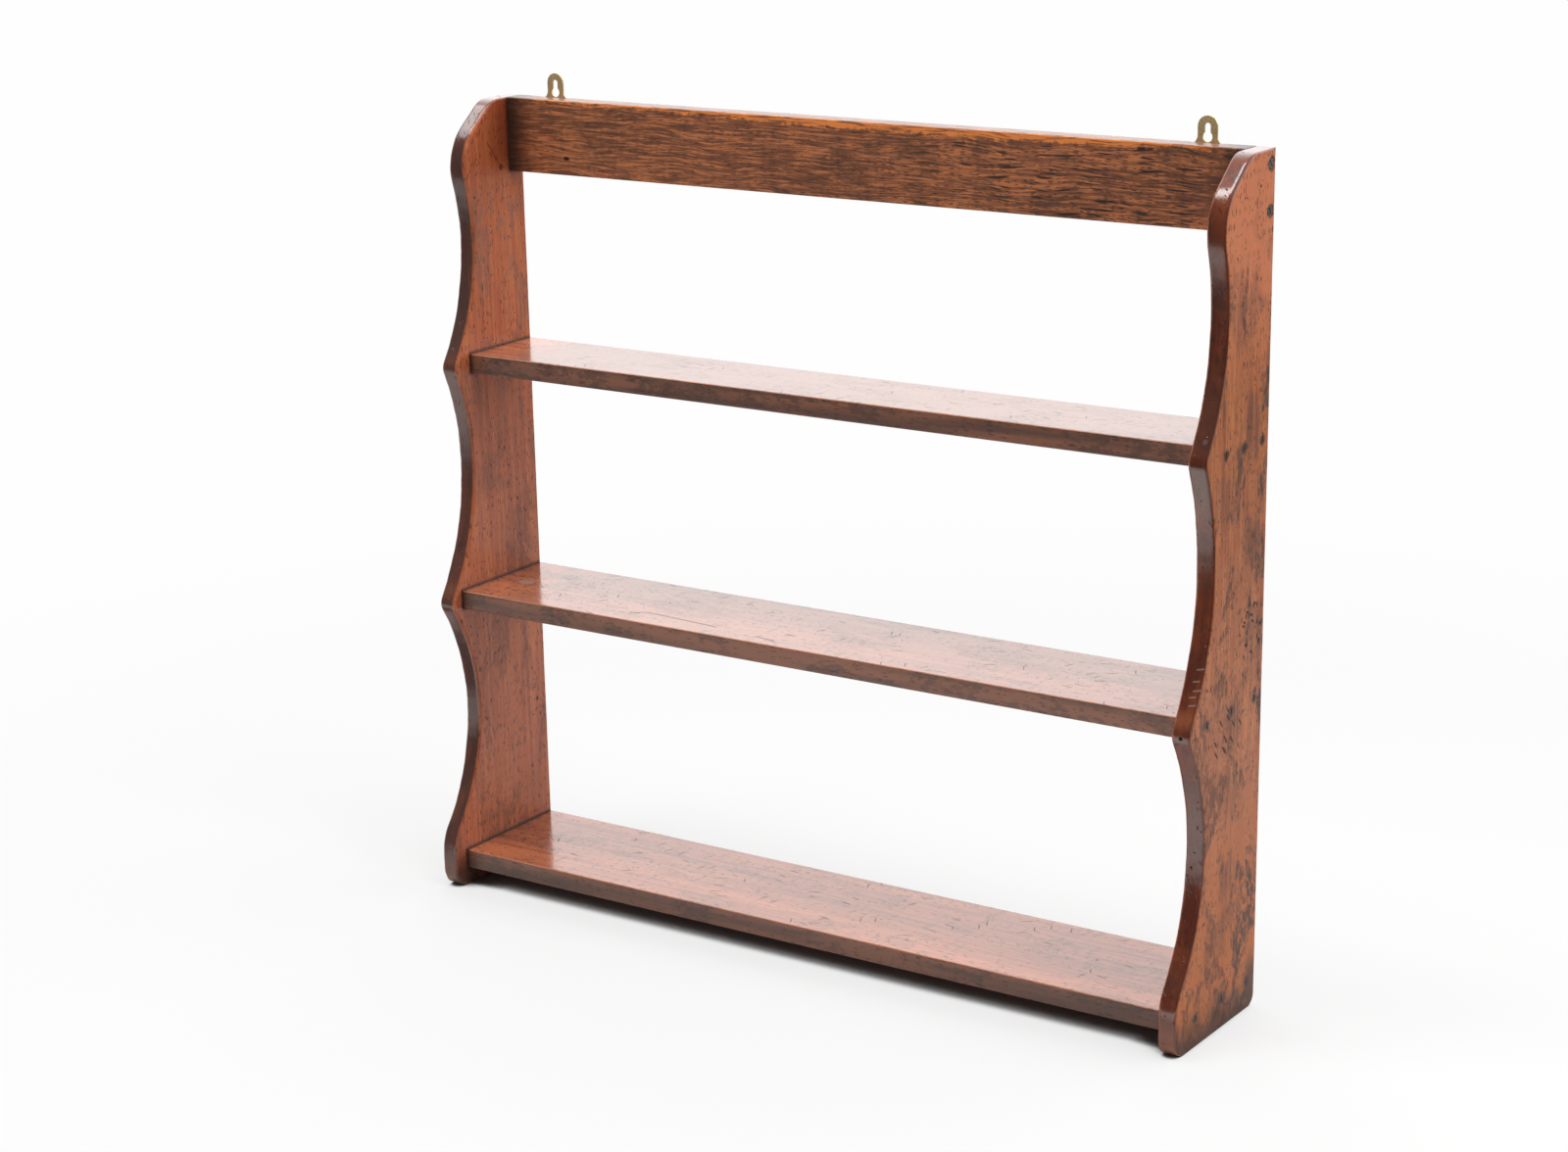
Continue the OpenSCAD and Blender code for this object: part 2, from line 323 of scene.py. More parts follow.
def copy_of_node(node):
    """A clean copy of a CAD node's mesh: joined corners, flat faces as single polygons."""
    shape = bmesh.new()
    shape.from_mesh(NODES[node].data)
    bmesh.ops.remove_doubles(shape, verts=shape.verts, dist=0.01 * MM)
    bmesh.ops.dissolve_limit(
        shape, angle_limit=math.radians(0.5), verts=shape.verts, edges=shape.edges, delimit=set()
    )
    return shape


def new_piece(name, shape, material=None):
    """A linked object made of a bmesh, which is used up."""
    mesh = bpy.data.meshes.new(name)
    shape.to_mesh(mesh)
    shape.free()
    piece = bpy.data.objects.new(name, mesh)
    bpy.context.scene.collection.objects.link(piece)
    if material:
        mesh.materials.append(material)
    return piece


def sharp_edges(shape, angle=30.0):
    """The edges whose two faces meet at more than angle degrees."""
    limit = math.radians(angle)
    return [e for e in shape.edges if len(e.link_faces) == 2 and e.calc_face_angle(0.0) > limit]


def islands(node):
    """The separate fasteners of a node, each as the list of its corner points."""
    shape = copy_of_node(node)
    left = set(shape.verts)
    found = []
    while left:
        reached = [left.pop()]
        points = []
        while reached:
            vert = reached.pop()
            points.append(vert.co.copy())
            for edge in vert.link_edges:
                other = edge.other_vert(vert)
                if other in left:
                    left.remove(other)
                    reached.append(other)
        found.append(points)
    shape.free()
    return found


def middle_of(points):
    return Vector([(min(p[i] for p in points) + max(p[i] for p in points)) / 2 for i in range(3)])


def rounded_piece(name, node, width_of, segments, material):
    """A piece for one CAD node, its sharp edges rounded by width_of(edge) metres."""
    shape = copy_of_node(node)
    widest = 6.0 * MM
    layer = shape.edges.layers.float.new("bevel_weight_edge")
    for edge in sharp_edges(shape):
        edge[layer] = min(1.0, width_of(edge) / widest)
    piece = new_piece(name, shape, material)
    bevel = piece.modifiers.new("arris", "BEVEL")
    bevel.limit_method = "WEIGHT"
    bevel.width = widest
    bevel.segments = segments
    bevel.use_clamp_overlap = False
    bevel.miter_outer = "MITER_ARC"
    apply_modifiers(piece)
    finish_piece(piece, node)


def finish_piece(piece, node):
    """Smooth shading that keeps the flat faces flat, and the piece's place in the frame."""
    for polygon in piece.data.polygons:
        polygon.use_smooth = True
    mark_sharp(piece, 32.0)
    weighted = piece.modifiers.new("flat_normals", "WEIGHTED_NORMAL")
    weighted.keep_sharp = True
    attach(piece, BODY)
    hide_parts(node)


def mark_sharp(piece, angle):
    """Keeps a crease in the smooth shading wherever faces meet at more than angle degrees."""
    shape = bmesh.new()
    shape.from_mesh(piece.data)
    for edge in sharp_edges(shape, angle):
        edge.smooth = False
    shape.to_mesh(piece.data)
    shape.free()


def apply_modifiers(piece):
    """Gives the piece the mesh that its modifiers make, in place of them."""
    graph = bpy.context.evaluated_depsgraph_get()
    mesh = bpy.data.meshes.new_from_object(piece.evaluated_get(graph))
    old = piece.data
    piece.modifiers.clear()
    piece.data = mesh
    bpy.data.meshes.remove(old)
    mesh.name = piece.name


def side_faces(node):
    """The x of a side's outer face and of its inner face."""
    low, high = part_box(node)
    return (low.x, high.x) if node.startswith("left") else (high.x, low.x)


def outline_edges(shape, outer, inner):
    """Corners of the outer face's outline, each with its two neighbours. The outline's edges are those
    with a wall behind them that runs through to the inner face, which the holes' edges lack."""
    near = 0.02 * MM
    neighbours = {}
    for edge in shape.edges:
        if any(abs(v.co.x - outer) > near for v in edge.verts):
            continue
        walls = [f for f in edge.link_faces if abs(f.normal.x) < 0.5]
        if any(abs(v.co.x - inner) < near for f in walls for v in f.verts):
            a, b = edge.verts
            neighbours.setdefault(a, []).append(b)
            neighbours.setdefault(b, []).append(a)
    return neighbours


def outline_of(node):
    """The (y, z) outline of a side's outer face, anticlockwise, with long straights cut into short steps."""
    shape = copy_of_node(node)
    neighbours = outline_edges(shape, *side_faces(node))
    first = max(neighbours, key=lambda v: v.co.z + v.co.y)
    walk = [first]
    last = None
    while True:
        onward = [v for v in neighbours[walk[-1]] if v is not last]
        last = walk[-1]
        if onward[0] is first:
            break
        walk.append(onward[0])
    corners = [(v.co.y, v.co.z) for v in walk]
    shape.free()
    if sum(a[0] * b[1] - b[0] * a[1] for a, b in zip(corners, corners[1:] + corners[:1])) < 0:
        corners.reverse()
    points = []
    for a, b in zip(corners, corners[1:] + corners[:1]):
        steps = max(1, round(math.dist(a, b) / (5 * MM)))
        for k in range(steps):
            points.append((a[0] + (b[0] - a[0]) * k / steps, a[1] + (b[1] - a[1]) * k / steps))
    return points


def inward_directions(points):
    """At each point of an anticlockwise outline, the move that carries both its sides 1 unit inwards."""
    moves = []
    for i, here in enumerate(points):
        before = points[i - 1]
        beyond = points[(i + 1) % len(points)]
        a = Vector((here[0] - before[0], here[1] - before[1])).normalized()
        b = Vector((beyond[0] - here[0], beyond[1] - here[1])).normalized()
        na = Vector((-a.y, a.x))
        nb = Vector((-b.y, b.x))
        moves.append((na + nb) / (1.0 + na.dot(nb)))
    return moves


def ease(value, low, high):
    """0 below low, 1 above high, smooth between."""
    t = min(1.0, max(0.0, (value - low) / (high - low)))
    return t * t * (3 - 2 * t)


def arris_radii(points, low, high):
    """How far each arris is rubbed round: well along the front, little at the wall and floor, and uneven."""
    phases = [random.uniform(0.0, 6.28) for _ in range(3)]
    radii = []
    for y, z in points:
        worn = TOP_ARRIS + (FRONT_ARRIS - TOP_ARRIS) * ease(high.z - z, 0.0, TOP_REACH * MM)
        worn = FLOOR_ARRIS + (worn - FLOOR_ARRIS) * ease(z - low.z, 0.5 * MM, FLOOR_REACH * MM)
        worn = WALL_ARRIS + (worn - WALL_ARRIS) * ease(high.y - y, 0.2 * MM, WALL_REACH * MM)
        uneven = 0.09 * math.sin(60 * z + phases[0]) + 0.06 * math.sin(148 * z + phases[1])
        uneven += 0.03 * math.sin(390 * z + phases[2])
        radii.append(worn * (1.0 + uneven) * MM)
    return radii


def rounded_blank(node):
    """A blank a little thicker than the side, with the side's outline and its arrises already rounded."""
    low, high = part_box(node)
    outer, inner = side_faces(node)
    sign = 1 if outer > inner else -1
    points = outline_of(node)
    moves = inward_directions(points)
    radii = arris_radii(points, low, high)
    steps = 6
    # The inner arris is rubbed a little less than the outer one.
    inner_share = 0.9
    # The blank stands past both faces, its ends drawn in, and is skimmed so that no surfaces coincide.
    beyond = 1.0 * MM
    sunk = 3.0 * MM
    skim = 0.03 * MM
    shape = bmesh.new()

    def ring(place_of, depth_of):
        """The outline at x = place_of(radius), moved in by depth_of(radius) at each point."""
        verts = []
        for point, move, radius in zip(points, moves, radii):
            depth = depth_of(radius) + skim
            place = (place_of(radius), point[0] + move.x * depth, point[1] + move.y * depth)
            verts.append(shape.verts.new(place))
        return verts

    turns = [math.radians(90.0 * k / steps) for k in range(steps + 1)]
    rings = [ring(lambda r: inner - sign * beyond, lambda r: r * inner_share + sunk)]
    for turn in reversed(turns):
        rings.append(ring(
            lambda r: inner + sign * inner_share * r * (1 - math.sin(turn)),
            lambda r: inner_share * r * (1 - math.cos(turn)),
        ))
    for turn in turns:
        rings.append(ring(
            lambda r: outer - sign * r * (1 - math.sin(turn)),
            lambda r: r * (1 - math.cos(turn)),
        ))
    rings.append(ring(lambda r: outer + sign * beyond, lambda r: r + sunk))
    for one, other in zip(rings, rings[1:]):
        for i in range(len(points)):
            j = (i + 1) % len(points)
            shape.faces.new((one[i], one[j], other[j], other[i]))
    shape.faces.new(rings[0])
    shape.faces.new(rings[-1])
    bmesh.ops.recalc_face_normals(shape, faces=shape.faces)
    return new_piece("blank", shape)


def add_sides():
    """Each side is what its CAD solid, with its holes and housings, shares with its rounded blank."""
    for end in ENDS:
        node = end + "_side"
        piece = new_piece(end + "_board", copy_of_node(node), side_wood)
        blank = rounded_blank(node)
        common = piece.modifiers.new("common", "BOOLEAN")
        common.operation = "INTERSECT"
        common.solver = "EXACT"
        common.object = blank
        apply_modifiers(piece)
        bpy.data.objects.remove(blank)
        finish_piece(piece, node)


def long_edges(node, front_width, back_width):
    """A width_of for a board between the sides: its long front edges, its long back edges, no others."""
    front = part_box(node)[0].y + 0.1 * MM

    def width_of(edge):
        a, b = (v.co for v in edge.verts)
        if abs(a.x - b.x) < 0.5:
            return 0.0
        return front_width if (a.y + b.y) / 2 < front else back_width

    return width_of


def add_shelves():
    for node in SHELVES:
        width_of = long_edges(node, 1.5 * MM, 0.7 * MM)
        rounded_piece(node + "_board", node, width_of, 3, shelf_wood)


def add_rail():
    width_of = long_edges("top_rail", 1.3 * MM, 0.7 * MM)
    rounded_piece("rail_board", "top_rail", width_of, 3, rail_wood)


def add_hardware():
    for end in ENDS:
        fixings = (
            (end + "_plate", end + "_hanging_plate", 0.35 * MM, brass, "brass"),
            (end + "_plate_fixings", end + "_plate_screws", 0.2 * MM, brass, "brass_screws"),
            (end + "_rail_fixings", end + "_rail_screws", 0.2 * MM, steel, "steel_screws"),
        )
        for name, node, width, metal, slot in fixings:
            rounded_piece(name, node, lambda e: width, 2, metal)
        for shelf in SHELVES:
            node = shelf + "_" + end + "_nails"
            rounded_piece(node + "_set", node, lambda e: 0.3 * MM, 2, iron)


# ---- Marks and grain ---------------------------------------------------------

def fastener_marks(kind):
    """(y, z) of every fastener whose head shows on the outer face of a side, taken from the CAD."""
    marks = set()
    for node in NODES:
        if node.startswith("right") and kind in node or node.endswith("_right_" + kind):
            for points in islands(node):
                centre = middle_of(points)
                marks.add((round(centre.y, 5), round(centre.z, 5)))
    return sorted(marks)


def nearest(g, across, marks, stretch=1.0):
    """Distance in metres from the shaded point to the nearest mark, on the (y, z) plane."""
    best = None
    for y, z in marks:
        away = g.vector("SUBTRACT", across, (0.0, y, z * stretch))
        length = g.vector("LENGTH", away)
        best = length if best is None else g.math("MINIMUM", best, length)
    return best


def board_plane(g, where, along):
    """(along the grain, across it) in metres, unrolled over the faces and edges of a board."""
    x, y, z = g.separate(where)
    if along == "z":
        return z, g.math("ADD", y, x)
    return x, g.math("ADD", y, z)


def dashes(g, plane, angle, length, breadth, size, share):
    """Scattered short marks, 1 in a mark and 0 outside. Each lies in its own cell of length x breadth
    metres, fills size of it, and leans by angle from the grain; share of the cells have one."""
    along, across = plane
    turned = g.add(
        "ShaderNodeVectorRotate",
        {"Vector": g.combine(along, across, 0.0), "Angle": math.radians(angle)},
        rotation_type="Z_AXIS",
    ).outputs[0]
    cells = g.add(
        "ShaderNodeTexVoronoi",
        {"Vector": g.vector("MULTIPLY", turned, (1 / length, 1 / breadth, 0.0)), "Scale": 1.0},
        voronoi_dimensions="2D", feature="F1",
    )
    here = g.ramp(cells.outputs["Distance"], size * 0.55, size, 1.0, 0.0)
    kept = g.math("LESS_THAN", g.separate(cells.outputs["Color"])[0], share)
    return g.times(here, kept)


def spot(g, where, centre, radius, longer=1.0):
    """A round hole or knock, 1 inside and 0 outside, drawn out along x where longer is above 1."""
    away = g.vector("MULTIPLY", g.vector("SUBTRACT", where, centre), (1.0 / longer, 1.0, 1.0))
    return g.ramp(g.vector("LENGTH", away), radius * 0.6, radius, 1.0, 0.0)


def line_mark(g, where, start, end, half_width):
    """A straight scratch between two places, 1 on the line and 0 beside it."""
    run = Vector(end) - Vector(start)
    away = g.vector("SUBTRACT", where, start)
    along = g.math("MULTIPLY", g.vector("DOT_PRODUCT", away, tuple(run)), 1.0 / run.length_squared, True)
    foot = g.combine(*(g.math("MULTIPLY", along, part) for part in run))
    gap = g.vector("LENGTH", g.vector("SUBTRACT", away, foot))
    return g.ramp(gap, half_width * 0.6, half_width * 1.3, 1.0, 0.0)


def around(g, across, centre, radius):
    """1 near a place on a side's face, fading to 0 at radius."""
    away = g.vector("SUBTRACT", across, (0.0, centre[0], centre[1]))
    return g.ramp(g.vector("LENGTH", away), radius * 0.75, radius, 1.0, 0.0)


def nicks(g, plane):
    """The knocks and scratches of long use, in several directions."""
    kinds = (
        (24, 0.050, 0.012, 0.050, 0.40), (-38, 0.036, 0.015, 0.045, 0.35), (78, 0.034, 0.016, 0.045, 0.35),
        (55, 0.018, 0.018, 0.060, 0.30), (8, 0.090, 0.016, 0.030, 0.35),
    )
    return g.most(*(dashes(g, plane, *kind) for kind in kinds))


def spots_of(g, where):
    """Soft blotches, two or three centimetres across, from 0 to 1."""
    return g.noise(g.vector("MULTIPLY", where, (60.0, 60.0, 34.0)), 3.0, 0.6)


class Wood:
    """What each wood material starts from: the shaded point, the way its surface faces, and the masks of
    its grain, which runs along one axis: broad figure, ribbons, fibres, dark pores, grime blotches."""

    def __init__(self, name, along):
        self.material, self.g, self.shader = new_material(name)
        self.along = along
        g = self.g
        coords = g.add("ShaderNodeTexCoord").outputs
        self.where = coords["Object"]
        self.x, self.y, self.z = g.separate(self.where)
        self.nx, self.ny, self.nz = g.separate(coords["Normal"])
        self.plane = board_plane(g, self.where, along)
        self.figure = g.noise(self.stretched(46.0, 3.2), 4.0, 0.55, 0.4)
        self.ribbon = g.noise(self.stretched(170.0, 5.0), 2.0, 0.5, 0.2)
        self.fibre = g.noise(self.stretched(900.0, 26.0), 2.0, 0.6)
        open_grain = g.noise(self.stretched(60.0, 22.0), 2.0, 0.6)
        long_pores = dashes(g, self.plane, 0, 0.0150, 0.0034, 0.27, 0.34)
        short_pores = dashes(g, self.plane, 3, 0.0110, 0.0052, 0.19, 0.40)
        self.pores = g.times(g.most(long_pores, short_pores), g.ramp(open_grain, 0.38, 0.56, 0.25, 1.0))
        patches = g.noise(self.stretched(26.0, 13.0), 5.0, 0.66, 0.6)
        spots = g.noise(self.stretched(190.0, 80.0), 4.0, 0.75)
        self.grime = g.times(g.ramp(patches, 0.50, 0.585), g.ramp(spots, 0.36, 0.56))

    def stretched(self, across, length):
        """The shaded point scaled by across, and by length along the grain."""
        scales = [across] * 3
        scales["xyz".index(self.along)] = length
        return self.g.vector("MULTIPLY", self.where, tuple(scales))

    def relief(self, wave, wave_height, fibre_height, marks):
        """How high the surface stands: gentle waves and fibres, less the pores and marks."""
        g = self.g
        height = g.math("ADD", g.times(wave, wave_height), g.times(self.fibre, fibre_height))
        height = g.math("SUBTRACT", height, g.times(self.pores, 0.10))
        return g.math("SUBTRACT", height, g.times(marks, 0.25))

    def bump(self, height, strength, distance):
        bump = self.g.add("ShaderNodeBump", {"Height": height, "Strength": strength, "Distance": distance})
        self.g.put(self.shader.inputs["Normal"], bump.outputs[0])


# ---- The sides' wood ---------------------------------------------------------

def side_face_tone(wood, cloud, outside):
    """Clean wood on the faces, paler at the top of the outer face by painted light, and redder at its foot.
    """
    g = wood.g
    inside = g.opposite(outside)
    tone = g.mix(g.ramp(cloud, 0.36, 0.64), rgb(0.335, 0.108, 0.042), rgb(0.400, 0.145, 0.055))
    tone = g.mix(g.ramp(wood.figure, 0.40, 0.64, 0.0, 0.45), tone, rgb(0.345, 0.092, 0.031))
    tone = g.mix(g.ramp(wood.ribbon, 0.46, 0.62, 0.0, 0.38), tone, rgb(0.53, 0.200, 0.076))
    tone = g.mix(g.ramp(wood.fibre, 0.40, 0.60, 0.0, 0.55), tone, rgb(0.20, 0.062, 0.034))
    # Painted light: the outer face is made paler and pinker towards its top.
    upper = g.times(g.ramp(wood.z, 0.62, 0.76, 0.0, 0.60), outside)
    tone = g.mix(upper, tone, rgb(0.62, 0.215, 0.112))
    lower = g.times(g.ramp(wood.z, 0.30, 0.12, 0.0, 0.75), outside)
    tone = g.mix(lower, tone, rgb(0.335, 0.088, 0.014))
    bands = g.math("ADD", g.times(wood.figure, 0.6), g.times(wood.ribbon, 0.4))
    streak = g.times(g.ramp(bands, 0.52, 0.42), inside)
    tone = g.mix(g.times(streak, 0.45), tone, rgb(0.17, 0.055, 0.036))
    return g.mix(g.times(inside, 0.22), tone, rgb(0.60, 0.110, 0.040))


def side_grime(wood, outside):
    """Blotches of dirt, with more where hands have held the outer face and less at its top."""
    g = wood.g
    squash = 0.55
    squashed = g.vector("MULTIPLY", wood.where, (0.0, 1.0, squash))
    gap = g.math("ADD", nearest(g, squashed, HANDLED, squash), g.centred(spots_of(g, wood.where), 0.075))
    blots = g.times(g.ramp(gap, 0.006, 0.026, 0.62, 0.0), outside)
    grime = g.most(wood.grime, g.times(blots, g.ramp(wood.ribbon, 0.38, 0.60, 1.0, 0.55)))
    return g.times(grime, g.ramp(wood.z, 0.742, 0.765, 1.0, 0.35))


def fastener_stains(wood, across):
    """Blackened wood round the heads of the nails and the rail's screws."""
    g = wood.g
    ragged = g.centred(g.noise(wood.where, 2.0, 0.6, 0.0, 260.0), 0.012)
    nail_gap = g.math("ADD", nearest(g, across, fastener_marks("nails")), ragged)
    screw_gap = g.math("ADD", nearest(g, across, fastener_marks("rail_screws")), ragged)
    return g.most(g.ramp(nail_gap, 0.0025, 0.0085, 0.9, 0.0), g.ramp(screw_gap, 0.0045, 0.009, 0.9, 0.0))


def side_placed_marks(wood, across, frontal, outside):
    """The rubs, knocks, holes and crack that have a place of their own."""
    g = wood.g
    rubs = dashes(g, wood.plane, 38, 0.036, 0.0085, 0.20, 0.90)
    rubs = g.times(rubs, around(g, across, RUBBED_AT, 0.036))
    steep = dashes(g, wood.plane, 62, 0.017, 0.0085, 0.23, 0.75)
    shallow = dashes(g, wood.plane, -15, 0.018, 0.010, 0.20, 0.7)
    knocks = g.times(g.most(steep, shallow), around(g, across, KNOCKED_AT, 0.032))
    return g.most(
        g.times(g.most(rubs, knocks), outside),
        spot(g, wood.where, HOLE_IN_FACE, 0.0022),
        spot(g, wood.where, HOLE_BY_RAIL, 0.0040),
        spot(g, frontal, HOLE_IN_EDGE, 0.0026),
        line_mark(g, wood.where, *CRACK_BY_RAIL, 0.0006),
    )


def darker_low_and_back(wood, outside):
    """Darker towards the floor, and further up towards the back of the outer face."""
    g = wood.g
    uneven = g.centred(spots_of(g, wood.where), 0.06)
    foot = g.ramp(g.math("ADD", wood.z, uneven), 0.000, 0.052, 0.92, 0.0)
    heel_gap = g.math("SUBTRACT", wood.z, g.times(wood.y, 0.9))
    heel_gap = g.math("ADD", heel_gap, g.times(uneven, 1.5))
    return g.most(foot, g.times(g.ramp(heel_gap, -0.060, 0.010, 0.90, 0.0), outside))


def lobe_wear(wood):
    """Rubbed, lighter wood where the front edge comes forward at the two upper shelves, and on the toes."""
    g = wood.g
    rubbed = g.ramp(wood.z, 0.050, 0.020, 0.0, 0.55)
    for node, amount in (("top_shelf", 0.15), ("middle_shelf", 0.55)):
        away = g.math("ABSOLUTE", g.math("SUBTRACT", wood.z, SHELF_TOPS[node] + 0.002))
        rubbed = g.most(rubbed, g.ramp(away, 0.000, 0.011, amount, 0.0))
    return rubbed


def pale_strokes_and_glint(wood, frontal):
    """A painted glint on the rounded edge just above the top shelf, and a row of short pale scratches across
    the right front edge.
    """
    g = wood.g
    pale = spot(g, frontal, GLINT_ON_EDGE, 0.0030)
    for x, z in EDGE_STROKES:
        stroke = line_mark(g, frontal, (x, 0.0, z), (x + 0.0055, 0.0, z + 0.001), 0.0008)
        pale = g.most(pale, stroke)
    return pale


def side_edge_tone(wood, frontal, turned_out, placed):
    """The dark polished edges, with painted shade on the outer arris and above the top shelf, and a greyer
    top of dust with a painted sheen.
    """
    g = wood.g
    edge = g.mix(g.ramp(wood.figure, 0.36, 0.64), rgb(0.105, 0.022, 0.010), rgb(0.200, 0.046, 0.017))
    edge = g.mix(g.ramp(spots_of(g, wood.where), 0.50, 0.66, 0.0, 0.5), edge, rgb(0.045, 0.016, 0.011))
    edge = g.mix(lobe_wear(wood), edge, rgb(0.30, 0.095, 0.036))
    # Painted shade: the rounding of the outer arris is darkened into a dark line beside the outer face.
    edge = g.mix(g.ramp(turned_out, 0.35, 0.75, 0.0, 0.65), edge, rgb(0.050, 0.014, 0.008))
    edge = g.mix(g.times(wood.pores, 0.5), edge, rgb(0.03, 0.012, 0.010))
    edge = g.mix(g.times(placed, 0.95), edge, rgb(0.008, 0.005, 0.004))
    # The painted glint and the pale scratches on the right front edge.
    edge = g.mix(g.times(pale_strokes_and_glint(wood, frontal), 0.40), edge, rgb(0.42, 0.34, 0.29))
    # Painted shade: the edge is darkened over the band just above the top shelf.
    painted_shade_below_neck = g.times(g.ramp(wood.z, 0.680, 0.640), g.ramp(wood.z, 0.588, 0.600))
    edge = g.mix(g.times(painted_shade_below_neck, 0.6), edge, rgb(0.055, 0.026, 0.020))
    left_board = g.ramp(wood.x, -0.30, -0.40, 0.0, 0.45)
    edge = g.mix(left_board, edge, rgb(0.080, 0.054, 0.048))
    # A greyer top face: dust with a painted sheen.
    return g.mix(g.times(g.ramp(wood.nz, 0.85, 0.97), 0.85), edge, rgb(0.120, 0.098, 0.090))


def joint_lines(wood):
    """The dark line round the end of the rail and of each shelf, where it meets a side."""
    g = wood.g
    rail_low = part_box("top_rail")[0]
    beside = g.ramp(wood.y, rail_low.y - 0.006, rail_low.y - 0.0005)
    joint = g.times(g.ramp(wood.z, rail_low.z - 0.004, rail_low.z + 0.001), beside)
    for node in SHELVES:
        low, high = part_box(node)
        half = (high.z - low.z) / 2
        off_middle = g.math("ABSOLUTE", g.math("SUBTRACT", wood.z, (low.z + high.z) / 2))
        over = g.ramp(off_middle, half, half + 0.0045, 1.0, 0.0)
        joint = g.most(joint, g.times(over, g.ramp(wood.y, low.y - 0.004, low.y)))
    return joint


def rail_shade(wood):
    """Painted shade, redder and darker, on the inner faces in the corner with the rail."""
    g = wood.g
    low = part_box("top_rail")[0]
    return g.times(g.ramp(wood.z, low.z - 0.012, low.z + 0.020), g.ramp(wood.y, low.y - 0.075, low.y))


def side_material():
    wood = Wood("side_mahogany_old", "z")
    g, shader = wood.g, wood.shader
    turned_out = g.times(wood.nx, g.math("SIGN", wood.x))
    flat = g.most(g.ramp(turned_out, 0.78, 0.97), g.ramp(turned_out, -0.22, -0.65))
    outside = g.ramp(g.math("ABSOLUTE", wood.x), OUTER_X - 0.0005, OUTER_X - 0.0001)
    inside = g.opposite(outside)
    across = g.vector("MULTIPLY", wood.where, (0.0, 1.0, 1.0))
    frontal = g.vector("MULTIPLY", wood.where, (1.0, 0.0, 1.0))
    cloud = g.noise(g.vector("MULTIPLY", wood.where, (16.0, 16.0, 9.0)), 4.0, 0.6, 0.4)

    tone = side_face_tone(wood, cloud, outside)
    grime = side_grime(wood, outside)
    rear = g.times(outside, g.ramp(wood.y, -0.02, 0.07, 0.0, 0.30))
    strength = g.math("ADD", g.math("ADD", g.times(outside, 0.25), rear), 0.45)
    tone = g.mix(g.math("MULTIPLY", grime, strength, True), tone, rgb(0.066, 0.036, 0.029))
    tone = g.mix(g.times(wood.pores, 0.70), tone, rgb(0.035, 0.014, 0.010))
    tone = g.mix(g.times(fastener_stains(wood, across), outside), tone, rgb(0.035, 0.022, 0.020))
    placed = side_placed_marks(wood, across, frontal, outside)
    flecks = dashes(g, wood.plane, 0, 0.0200, 0.0075, 0.14, 0.20)
    flecks = g.times(flecks, g.ramp(cloud, 0.44, 0.54, 1.0, 0.2))
    marks = g.most(nicks(g, wood.plane), placed, flecks)
    tone = g.mix(g.times(marks, 0.85), tone, rgb(0.030, 0.016, 0.012))
    # Darker towards the floor and at the lower back of the outer face.
    tone = g.mix(darker_low_and_back(wood, outside), tone, rgb(0.050, 0.024, 0.017))
    tone = g.mix(flat, side_edge_tone(wood, frontal, turned_out, placed), tone)
    # Painted shade in the inner corner under the rail.
    tone = g.mix(g.times(rail_shade(wood), inside, 0.80), tone, rgb(0.15, 0.026, 0.008))
    tone = g.mix(g.times(joint_lines(wood), inside, flat, 0.85), tone, rgb(0.018, 0.010, 0.008))
    g.put(shader.inputs["Base Color"], tone)

    rough = g.ramp(grime, 0.0, 1.0, 0.26, 0.44, smooth=False)
    rough = g.math("ADD", rough, g.centred(wood.fibre, 0.10))
    g.put(shader.inputs["Roughness"], g.times(rough, g.ramp(flat, 0.0, 1.0, 0.60, 1.0)))
    gloss = g.math("SUBTRACT", g.ramp(flat, 0.0, 1.0, 0.70, 0.40), g.times(outside, 0.26))
    g.put(shader.inputs["Specular IOR Level"], g.mix_value(marks, gloss, 0.05))
    wave = g.noise(wood.where, 2.0, 0.5, 0.0, 42.0)
    wood.bump(wood.relief(wave, 0.30, 0.05, marks), 0.6, 0.0016)
    return wood.material


# ---- The shelves' wood -------------------------------------------------------

def shelf_marks(wood):
    """Scratches of use, crowded in places, and the scored lines on the middle shelf."""
    g = wood.g
    busy = g.noise(g.vector("MULTIPLY", wood.where, (7.0, 20.0, 20.0)), 2.0, 0.5)
    marks = g.times(nicks(g, wood.plane), g.ramp(busy, 0.46, 0.58, 0.15, 1.0))
    for angle, share in ((12, 0.16), (-27, 0.14), (64, 0.14), (-71, 0.12)):
        marks = g.most(marks, dashes(g, wood.plane, angle, 0.110, 0.011, 0.075, share))
    top = SHELF_TOPS["middle_shelf"]
    for start, end, half_width in SCORED_LINES:
        marks = g.most(marks, line_mark(g, wood.where, (*start, top), (*end, top), half_width))
    return marks


